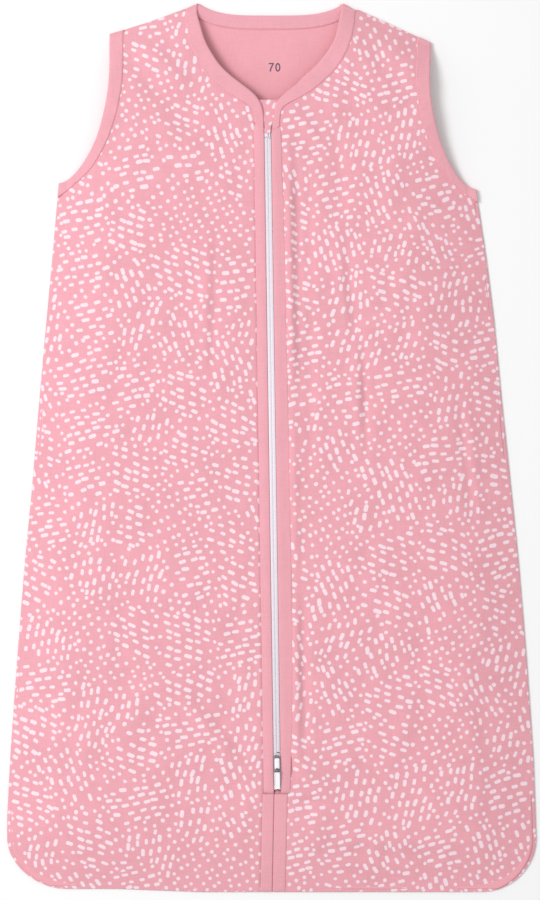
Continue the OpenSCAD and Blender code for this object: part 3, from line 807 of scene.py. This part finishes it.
def front_lining(name, side, low, high, inner):
    rows = np.linspace(low, high, max(8, int((high - low) / 3.5)))
    cols = 50 if side < 0 else 120
    x, y = span(inner, lambda v: panel_x(v) - np.where(v > Y_TIP, 5.0, 2.5), rows, cols, side)
    middle = with_height(x, y, lining_z)
    return shell(name, middle, cut_uv(middle), LINING_T, jersey)


def lining_inner(side):
    """Inner edge of a lining above the zip's foot: beside the slider's path, then along the neck seam."""
    run = np.linspace(Y_STRIP, Y_NECK, 40)
    neck_heights, neck_widths = front_neck_seam(side)
    heights = np.concatenate([run, neck_heights])
    widths = np.concatenate([4.8 + side * zip_x(run), neck_widths - 1.0])
    return lambda v: np.interp(v, heights, widths)


def foot_inner(side):
    """Inner edge of a lining below the zip's foot, just off the middle of the hem strips."""
    return lambda v: np.full_like(v, side * 2.2 + 0.1)


LINING_PART_Y = Y_STRIP + 3
linings = []
for side, word, body, nodes in ((-1, "left", "bag", ["front_left_lining"]),
                                (1, "right", OVER_FOLD, ["front_right_lining", "flap_lining"])):
    upper = front_lining(f"front_lining_{word}", side, LINING_PART_Y, Y_TOP - 8, lining_inner(side))
    foot = front_lining(f"front_lining_foot_{word}", side, Y_HEM + 2.5, LINING_PART_Y - 0.3, foot_inner(side))
    settle(upper, "lining_fabric", body, *nodes)
    settle(foot, "lining_fabric", "bag", nodes[0])
    linings += [upper, foot]
for lining in linings:
    declare_sheet(lining)


def back_neck_line(count, inset=0.0):
    """The back neck's edge from left to right, or a line inset below it."""
    t = np.linspace(-1, 1, count)
    x = t * (HALF_NECK + BACK_FLARE * min(1, inset / BINDING_W))
    return np.stack([x, back_neck_y(t, inset)], axis=1)


def back_sheet(name, height, inset, thickness, material, shift):
    """A sheet across the whole back, row by row up to the back neck seam."""
    cols, upper_rows, split_y = 121, 100, 1
    neck_x, seam_x = HALF_NECK + BACK_FLARE, 116.0
    low = Y_HEM + inset
    heights = np.concatenate([low + np.array([0, 0.5, 1.2, 2.1]), np.linspace(low + 3.4, split_y, 110)])
    share = np.linspace(-1, 1, cols)
    spread = np.sign(share) * (1 - (1 - np.abs(share)) ** 1.15)
    lower_x = (panel_x(heights) - inset)[:, None] * spread[None, :]
    lower_y = np.repeat(heights[:, None], cols, axis=1)
    # Above the middle each column runs to its own point of the top edge: shoulder, neck seam, shoulder
    corner = 66.0 / seam_x
    across = np.abs(spread)
    beyond = (across - corner) / (1 - corner)
    top_x = np.where(across < corner, across / corner * neck_x, neck_x + beyond * (seam_x - neck_x))
    shoulder_y = Y_TOP - (top_x - HALF_NECK) / (HALF_SHOULDER - HALF_NECK) * (Y_TOP - Y_TIP)
    top_line = back_neck_line(cols, 10.2)[cols // 2:]
    neck_y = np.interp(top_x, top_line[:, 0], top_line[:, 1])
    top_y = np.where(across < corner, neck_y + 0.8, shoulder_y - inset * 0.6)
    t = np.linspace(0, 1, upper_rows + 1)[1:, None]
    upper_y = split_y + (top_y[None, :] - split_y) * t
    half = panel_x(split_y + (top_y[-1] - split_y) * t) - inset
    upper_x = (spread[None, :] * (1 - t ** 3) + np.sign(spread) * top_x / seam_x * t ** 3) * half
    middle = with_height(np.vstack([lower_x, upper_x]), np.vstack([lower_y, upper_y]), height)
    return shell(name, middle, cut_uv(middle, shift), thickness, material)


back_panel = back_sheet("back_cloth", back_z, 0, CLOTH_T, printed, (61, 23))
settle(back_panel, "print_fabric", "bag", "back_panel")
declare_sheet(back_panel)
back_lining = back_sheet("back_lining_cloth", back_lining_z, 2.5, LINING_T, jersey, (0, 0))
settle(back_lining, "lining_fabric", "bag", "back_lining")
declare_sheet(back_lining)


# ---------------------------------------------------------------- bindings
def band_height(x, y):
    return np.maximum(front_z(x, y), 2.6)


def back_band_height(x, y):
    return np.full_like(x, BACK_BAND_Z)


FRONT_BAND = dict(thick=(1.0, 1.0), seam_share=0.3, crown=0.06, wave=0.14)
BACK_BAND = dict(thick=(1.1, 1.05), crown=0.1, wave=0.08)
PLACKET_BAND = dict(thick=(0.62, 0.45), crown=0.25, wave=0.1)
STRIP_BAND = dict(thick=(0.6, 0.5), seam_share=0.42, crown=0.2, wave=0.1)


def sewn(edge, seam, share, height, above):
    """Path of a row of stitches: a line between an edge and a seam, as 3-D points just above the cloth."""
    plan = edge + (seam - edge) * share
    return np.column_stack([plan, height(plan[:, 0], plan[:, 1]) + above])


bag_seams, flap_seams = [], []
for side, word, body, seams, nodes in (
        (-1, "left", "bag", bag_seams, ["neck_binding"]),
        (1, "right", OVER_FOLD, flap_seams, ["neck_binding", "flap_neck_binding"])):
    edge, seam = spline(NECK_EDGE[side], 150), spline(NECK_SEAM[side], 150)
    piece = band(f"neck_binding_{word}", edge, seam, band_height, plain, **FRONT_BAND)
    settle(piece, "plain_fabric", body, *nodes)
    seams.append(sewn(edge, seam, 0.92, band_height, 0.94)[4:-2])

edge, seam = back_neck_line(140), back_neck_line(140, BINDING_W)
settle(band("neck_binding_back", edge, seam, back_band_height, plain, **BACK_BAND), "plain_fabric", "bag",
       "neck_binding")
back_neck_seam = [sewn(edge, seam, 0.86, back_band_height, 0.98)[6:-6]]


def armhole_lines(side, count=140):
    """Free edge and seam of an armhole's binding, from the shoulder down to the underarm."""
    heights = np.linspace(Y_TIP, Y_ARM, 400)
    edge = evenly(np.column_stack([armhole_edge(heights), heights]), count)
    seam_heights = np.linspace(Y_TIP + 4.4, Y_JOIN, 400)
    seam = np.column_stack([armhole_seam(seam_heights), seam_heights])
    # The last stretch bends out to meet the side seam
    seam[:, 0] += (outer_x(Y_JOIN) - seam[-1, 0]) * smooth(Y_ARM + 16, Y_JOIN, seam_heights) ** 1.5
    return edge * [side, 1], evenly(seam, count) * [side, 1]


for side, word in ((-1, "left"), (1, "right")):
    edge, seam = armhole_lines(side)
    for face, height, look in (("front", band_height, FRONT_BAND), ("back", back_band_height, BACK_BAND)):
        piece = band(f"armhole_binding_{face}_{word}", edge, seam, height, plain, **look)
        settle(piece, "plain_fabric", "bag", f"armhole_binding_{word}")
    bag_seams.append(sewn(edge, seam, 0.92, band_height, 0.94)[2:-2])


# ---------------------------------------------------------------- zip plackets and hem strips
def placket_height(x, y):
    """Middle of a placket: raised along the coil, sunk at its seam, under the binding and at its foot."""
    at_seam = 0.5 * smooth(6, 10.5, np.abs(x - zip_x(y)))
    under_binding = 1.1 * smooth(Y_COVERED, Y_COVERED + 11, y)
    at_foot = 0.55 * smooth(Y_STRIP + 5, Y_STRIP, y)
    return PLACKET_Z - 0.05 - (at_seam + under_binding + at_foot)


def placket_lines(side, count=230):
    """Free edge and seam of a placket. Its edge runs beside the coil and then under the neck binding."""
    heights = np.linspace(Y_STRIP + 0.1, Y_NECK, count)
    ripple = 0.12 * np.sin(heights / 23 + side) + 0.08 * np.sin(heights / 9.1)
    neck = spline(NECK_EDGE[side], 160)[::-1]
    covered = np.interp(heights, neck[:, 1], neck[:, 0]) + side * 0.9
    along_coil = zip_x(heights) + side * 2.7
    goes_under = smooth(Y_COVERED, Y_COVERED + 4, heights)
    edge = np.column_stack([along_coil + (covered - along_coil) * goes_under, heights])
    width = placket_width(side, heights) + ripple * (1.0 if side > 0 else 0.5)
    return edge, np.column_stack([zip_x(heights) + side * width, heights])


for side, word, body, seams in ((-1, "left", "bag", bag_seams), (1, "right", OVER_FOLD, flap_seams)):
    edge, seam = placket_lines(side)
    piece = band(f"zip_placket_cloth_{word}", edge, seam, placket_height, plain, **PLACKET_BAND)
    settle(piece, "plain_fabric", body, f"zip_placket_{word}")
    seams.append(sewn(edge, seam, 0.9, placket_height, 0.4)[4:-8])


def strip_height(x, y):
    return front_z(x, y) + 0.1


strip_rows_y = np.linspace(Y_HEM + 0.3, Y_STRIP - 0.1, 60)
for side, word in ((-1, "left"), (1, "right")):
    edge = np.column_stack([strip_edge(strip_rows_y, *STRIP_MIDDLE) + side * 0.05, strip_rows_y])
    seam = np.column_stack([strip_edge(strip_rows_y, *STRIP_SEAM[side]), strip_rows_y])
    strip = band(f"hem_strip_cloth_{word}", edge, seam, strip_height, plain, **STRIP_BAND)
    settle(strip, "plain_fabric", "bag", f"hem_strip_{word}")
    bag_seams.append(sewn(edge, seam, 0.9, strip_height, 0.42)[2:-2])


def zip_guard(cols=15):
    """Strip behind the zip, printed. It folds over the zip's top end and is seen in the V of the neck."""
    low = node_mm("zip_guard")[0][1]
    # Each stop: y, z, left x, right x
    straight = [(y, GUARD_Z + 0.12 * math.sin(y / 17), zip_x(y) - 12, zip_x(y) + 12)
                for y in np.linspace(low, Y_NECK, 150)]
    fold = spline([(262, GUARD_Z + 0.1, -15, 9), (267, GUARD_Z + 0.1, -14.4, 8.4),
                   (271, GUARD_Z + 0.15, -12.4, 6.8), (272.9, 9.75, -11.6, 6.4), (272.4, 10.35, -11.2, 6),
                   (270, 10.6, -9.6, 4.9), (266, 10.8, -7.6, 4), (262, 11.2, -6.6, 3.2),
                   (258, 12.1, -5.8, 1.9), (255, 13.1, -5.5, 0.9), (252, 14.1, -5.3, 0),
                   (249, 14.45, -5.15, -0.45), (246.4, 14.4, -5.05, -0.65)], 70)
    path = np.vstack([straight[:-1], fold])
    run = np.concatenate([[0], np.cumsum(np.hypot(*np.diff(path[:, :2], axis=0).T))])
    share = np.linspace(0, 1, cols)[None, :]
    x = path[:, 2:3] + (path[:, 3:4] - path[:, 2:3]) * share
    y, z = (np.repeat(path[:, k:k + 1], cols, axis=1) for k in (0, 1))
    z = z + 0.25 * smooth(256, 250, y) * (z > 12) * (1 - (2 * share - 1) ** 2)
    uv = np.stack([x + 15, np.repeat(run[:, None], cols, axis=1) + 40], axis=-1)
    return shell("zip_guard_cloth", np.stack([x, y, z], axis=-1), uv, 0.6, printed)


guard = zip_guard()
settle(guard, "print_fabric", "bag", "zip_guard")
declare_sheet(guard)


# ---------------------------------------------------------------- zip
def on_zip(x, y, z):
    """Points given across, along and above the zip, in the frame."""
    c, s = math.cos(ZIP_LEAN), math.sin(ZIP_LEAN)
    x, y = np.asarray(x, float), np.asarray(y, float)
    return np.stack([ZIP_MID_X + c * x - s * y, s * x + c * y, np.asarray(z, float) + 0 * x], axis=-1)


TURN_PITCH, TURN_RADIUS = 1.1, 0.37


def boxy(wave):
    """A sine or cosine drawn out towards its peaks, so that a ring of them is a box with round corners."""
    return np.sign(wave) * np.sqrt(np.abs(wave))


def coil(name, side, low, high):
    """One side of the coil: a flat spiral of nylon round a flat cord. Its turns reach across the middle."""
    per_turn, ring, cord_ring = 12, 6, 16
    turns = int((high - low) / TURN_PITCH)
    t = np.arange(turns * per_turn + 1) / per_turn
    angle = 2 * math.pi * t
    lag = 0.25 if side > 0 else -0.25
    middle, reach, tall = COIL_W / 4 + 0.02, COIL_W / 4 - 0.2, 0.42
    x = side * (middle - reach * np.cos(angle))
    y = low + (t + lag + 0.25) * TURN_PITCH + 0.18 * TURN_PITCH * np.sin(angle)
    path = on_zip(x, y, COIL_Z + tall * np.sin(angle))
    ahead = np.gradient(path, axis=0)
    ahead /= np.linalg.norm(ahead, axis=1, keepdims=True)
    across = np.cross(ahead, [0, 1, 0])
    across /= np.linalg.norm(across, axis=1, keepdims=True)
    up = np.cross(across, ahead)
    turn = 2 * math.pi * np.arange(ring) / ring
    out = np.cos(turn)[None, :, None] * across[:, None, :] + np.sin(turn)[None, :, None] * up[:, None, :]
    tube = path[:, None, :] + TURN_RADIUS * out
    grid, faces = ring_faces(len(tube), ring, flip=True)
    faces += [grid[0][::-1].tolist(), grid[-1].tolist()]
    around = 2 * math.pi * (np.arange(cord_ring) + 0.5) / cord_ring
    cord_x = side * (middle + 0.14 + 1.27 * boxy(np.cos(around)))
    cord_z = COIL_Z + (tall + 0.1) * boxy(np.sin(around))
    cord = np.vstack([on_zip(cord_x, np.full(cord_ring, end), cord_z) for end in (low + 1, high - 1)])
    grid, cord_faces = ring_faces(2, cord_ring, flip=True)
    cord_faces += [grid[0][::-1].tolist(), grid[-1].tolist()]
    return mesh_object(name, *joined([(tube.reshape(-1, 3), faces), (cord, cord_faces)]), nylon)


COILS = (("zip_coil_left", -1, "bag"), ("zip_coil_right", 1, "flap"), ("zip_coil_end", 1, "bag"))
for node, side, body in COILS:
    low, high = node_mm(node)
    settle(coil(node + "_turns", side, low[1], high[1]), "zip_nylon", body, node)


# ---------------------------------------------------------------- slider
def slab(outline, low, high, round_r, dome=0.0):
    """Points and faces of a solid slab whose top edge is rounded and whose top may be domed."""
    outline = np.array(outline, float)
    centre, count = outline.mean(axis=0), len(outline)
    outward = outline - centre
    outward /= np.linalg.norm(outward, axis=1, keepdims=True)
    rings = [(0.0, low), (0.0, high - round_r)]
    for a in np.radians([18, 36, 54, 72, 90]):
        rings.append((round_r * (1 - math.cos(a)), high - round_r + round_r * math.sin(a)))
    verts = [np.column_stack([outline - outward * inset, np.full(count, z)]) for inset, z in rings]
    for share in (0.66, 0.33):
        inner_ring = centre + (outline - outward * round_r - centre) * share
        verts.append(np.column_stack([inner_ring, np.full(count, high + dome * (1 - share ** 2))]))
    grid, faces = ring_faces(len(verts), count, flip=True)
    verts = np.vstack(verts + [[[*centre, high + dome], [*centre, low]]])
    top, bottom = len(verts) - 2, len(verts) - 1
    faces += [(a, b, top) for a, b in zip(grid[-1], np.roll(grid[-1], -1))]
    return verts, faces + [(b, a, bottom) for a, b in zip(grid[0], np.roll(grid[0], -1))]


def rod(a, b, radius, sides=16):
    """Points and faces of a round bar between two points."""
    a, b = np.array(a, float), np.array(b, float)
    ahead = (b - a) / np.linalg.norm(b - a)
    across = np.cross(ahead, [0.1, 0.2, 1.0])
    across /= np.linalg.norm(across)
    up = np.cross(across, ahead)
    turn = 2 * math.pi * np.arange(sides) / sides
    circle = np.cos(turn)[:, None] * across + np.sin(turn)[:, None] * up
    stops = ((0, 0.75), (0.06, 1.0), (0.94, 1.0), (1, 0.75))
    verts = np.vstack([a + (b - a) * share + circle * radius * fat for share, fat in stops])
    grid, faces = ring_faces(len(stops), sides)
    return verts, faces + [grid[0].tolist(), grid[-1][::-1].tolist()]


def box_outline(x0, x1, y0, y1, corner, per_corner=7):
    """Outline of a box with round corners, anticlockwise. The two x values may come in either order."""
    x0, x1 = min(x0, x1), max(x0, x1)
    points = []
    for cx, cy, start in ((x1 - corner, y1 - corner, 0), (x0 + corner, y1 - corner, 90),
                          (x0 + corner, y0 + corner, 180), (x1 - corner, y0 + corner, 270)):
        for a in np.radians(np.linspace(start, start + 90, per_corner)):
            points.append((cx + corner * math.cos(a), cy + corner * math.sin(a)))
    return points


PIVOT_Y, PIVOT_Z, PULL_TILT = -252.6, 16.2, math.radians(8)
CAP_Z = node_mm("slider_cap")[0][2]
BASE_Z = node_mm("slider_body")[0][2]

# The body: two plates with low flanges that run beside the coil. The turns mesh between them.
low, high = PIVOT_Y - 1.9, PIVOT_Y + 11.7
# The plates' dark grey is painted shade: a dark outline round the white cap.
plates = [slab(box_outline(-2.3, 2.3, low, high, 1.1), CAP_Z - 0.75, CAP_Z, 0.2),
          slab(box_outline(-3.6, 3.6, low, high, 1.2), BASE_Z, BASE_Z + 0.9, 0.2)]
for side in (-1, 1):
    flange = box_outline(side * 2.1, side * 2.3, low + 1.4, high - 1.4, 0.09, 3)
    plates.append(slab(flange, CAP_Z - 0.9, CAP_Z - 0.6, 0.05))
# The cap is a domed shell. The lug that the pull hangs on and the low plate beyond the cap are dark grey:
# painted shade for the dark line at the hinge and the dark slot at the slider's nose.
cap = [slab(box_outline(-1.95, 1.95, PIVOT_Y + 0.7, PIVOT_Y + 9.6, 1.2), CAP_Z, CAP_Z + 1.0, 0.55, 0.35)]
lug = [slab(box_outline(-1.0, 1.0, PIVOT_Y - 0.9, PIVOT_Y + 1.9, 0.3), CAP_Z, PIVOT_Z, 0.1),
       rod((-1.02, PIVOT_Y, PIVOT_Z), (1.02, PIVOT_Y, PIVOT_Z), 1.1, 28),
       slab(box_outline(-1.75, 1.75, PIVOT_Y + 9.7, PIVOT_Y + 11.7, 0.6), CAP_Z - 0.05, CAP_Z + 0.25, 0.12),
       slab(box_outline(-1.25, 1.25, PIVOT_Y - 0.45, PIVOT_Y + 0.7, 0.3), CAP_Z, PIVOT_Z + 0.9, 0.2)]
for name, parts, material, node in (("slider_plates", plates, shade_grey_metal, "slider_body"),
                                    ("slider_cap_shell", cap, lacquer, "slider_cap"),
                                    ("slider_lug", lug, shade_grey_metal, "slider_cap")):
    verts, faces = joined(parts)
    settle(mesh_object(name, on_zip(*verts.T), faces, material), "zip_lacquer", "slider", node)

# The pull: a white tab with a sunk panel and a rim, on two arms and a cross pin in dark grey, painted shade
# at the hinge.
# Its parts are given from the pivot and then turned down to the pull's place at rest.
TAB_X, TAB_LOW, TAB_HIGH, TAB_RIM = 1.95, -14.8, -1.3, 0.55
tab = [slab(box_outline(-TAB_X, TAB_X, TAB_LOW, TAB_HIGH, 1.0), -0.5, 0.25, 0.2),
       slab(box_outline(-TAB_X, TAB_X, TAB_HIGH - 1.3, TAB_HIGH, 0.6), -0.45, 0.5, 0.22),
       slab(box_outline(-TAB_X, TAB_X, TAB_LOW, TAB_LOW + 0.9, 0.44), -0.45, 0.5, 0.22)]
arms = [rod((-1.5, 0, 0), (1.5, 0, 0), 0.5, 20)]
for side in (-1, 1):
    rim = box_outline(side * (TAB_X - TAB_RIM), side * TAB_X, TAB_LOW + 0.4, TAB_HIGH - 0.4, 0.26)
    tab.append(slab(rim, -0.45, 0.5, 0.2))
    arms.append(slab(box_outline(side * 1.3, side * TAB_X, TAB_HIGH - 0.8, 0.4, 0.3), -0.4, 0.4, 0.2))
for name, parts, material in (("slider_pull_tab", tab, lacquer), ("slider_pull_arms", arms, shade_grey_metal)):
    verts, faces = joined(parts)
    y = PIVOT_Y + verts[:, 1] * math.cos(PULL_TILT) - verts[:, 2] * math.sin(PULL_TILT)
    z = PIVOT_Z + verts[:, 1] * math.sin(PULL_TILT) + verts[:, 2] * math.cos(PULL_TILT)
    piece = mesh_object(name, on_zip(verts[:, 0], y, z), faces, material)
    settle(piece, "zip_lacquer", "pull", "slider_pull")


# ---------------------------------------------------------------- size number on the back lining
def stroke(path, width, closed=False):
    """Points and faces of a thin flat stroke along a plan path, laid on the back lining."""
    path = np.array(path, float)
    after, before = np.roll(path, -1, axis=0), np.roll(path, 1, axis=0)
    if not closed:
        after[-1], before[0] = path[-1], path[0]
    ahead = after - before
    ahead /= np.linalg.norm(ahead, axis=1, keepdims=True)
    side = np.column_stack([-ahead[:, 1], ahead[:, 0]]) * width / 2
    edges = np.stack([path - side, path + side, path + side, path - side], axis=1)
    level = back_lining_z(edges[..., 0], edges[..., 1]) + LINING_T / 2 + np.array([0.06, 0.06, -0.1, -0.1])
    grid, faces = ring_faces(len(path), 4)
    if closed:
        faces += [(grid[-1][k], grid[0][k], grid[0][(k + 1) % 4], grid[-1][(k + 1) % 4]) for k in range(4)]
    else:
        faces += [grid[0].tolist(), grid[-1][::-1].tolist()]
    return np.dstack([edges, level]).reshape(-1, 3), faces


NUMBER_X, NUMBER_Y, DIGIT_OFF = 2.6, 299.7, 2.6
seven_at = np.array([NUMBER_X - DIGIT_OFF, NUMBER_Y])
seven_leg = spline([(1.5, 2.9), (0.6, 0.9), (-0.3, -1), (-0.8, -3.3)], 12) + seven_at
seven_bar = np.array([(-2.0, 2.95), (0, 2.95), (1.95, 2.95)]) + seven_at
turn = 2 * math.pi * np.arange(32) / 32
zero = np.column_stack([NUMBER_X + DIGIT_OFF + 1.5 * np.cos(turn), NUMBER_Y + 2.9 * np.sin(turn)])
number = joined([stroke(seven_bar, 1.0), stroke(seven_leg, 1.1), stroke(zero, 1.1, closed=True)])
settle(mesh_object("size_number", *number, ink), "lining_fabric", "bag")

# ---------------------------------------------------------------- stitching
foot_low, foot_high = node_mm("zip_end_bartack")
foot_x = np.linspace(foot_low[0], foot_high[0], 30)
foot_path = np.column_stack([foot_x, np.full(30, Y_STRIP + 0.1), np.full(30, FRONT_Z + 0.85)])
foot_stitches = stitching("zip_foot_stitches", [foot_path], thread_pink, pitch=2.2, length=1.7, radius=0.2)
settle(foot_stitches, "thread", "bag", "zip_end_bartack")
for name, paths, body, thread in (("stitching_bag", bag_seams, "bag", thread_pink),
                                  ("stitching_back_neck", back_neck_seam, "bag", thread_pale),
                                  ("stitching_flap", flap_seams, OVER_FOLD, thread_pink)):
    settle(stitching(name, paths, thread), "thread", body)

# CAD parts that are shown as they are, in the same materials as the pieces around them
for node, material in (("zip_tape_left", tape_cloth), ("zip_tape_right", tape_cloth),
                       ("zip_tape_end", tape_cloth), ("zip_retainer_box", nylon),
                       ("zip_insertion_pin", nylon), ("zip_end_stop", lacquer)):
    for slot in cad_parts[node].material_slots:
        slot.link = "OBJECT"
        slot.material = material

# ---------------------------------------------------------------- floor, light and camera
floor_material = Nodes("floor")
floor_material.set(Base_Color=(0.93, 0.93, 0.93, 1), Roughness=0.9)
bpy.ops.mesh.primitive_plane_add(size=6, location=(0, 0, -0.0003))
floor = bpy.context.object
floor.name = "floor"
floor.data.materials.append(floor_material.material)

world = bpy.data.worlds.new("studio")
bpy.context.scene.world = world
world.use_nodes = True
background = world.node_tree.nodes["Background"]
background.inputs["Color"].default_value = (1, 1, 1, 1)
background.inputs["Strength"].default_value = 0.62


def area_light(name, place, power, size):
    """A soft square light aimed at the middle of the bag."""
    light = bpy.data.lights.new(name, "AREA")
    light.energy = power
    light.size = size
    holder = bpy.data.objects.new(name, light)
    holder.location = place
    holder.rotation_euler = (-Vector(place)).to_track_quat("-Z", "Y").to_euler()
    bpy.context.scene.collection.objects.link(holder)


area_light("key", (-1.25, 0.5, 1.7), 24, 0.8)
area_light("fill", (-0.5, -0.9, 2.2), 5, 1.6)

camera_data = bpy.data.cameras.new("camera")
camera_data.lens = 100
camera_data.sensor_width = 36
camera = bpy.data.objects.new("camera", camera_data)
camera.location = (-0.00095, -0.0018, 1.9715)
bpy.context.scene.collection.objects.link(camera)
bpy.context.scene.camera = camera
bpy.context.scene.view_settings.view_transform = "Standard"
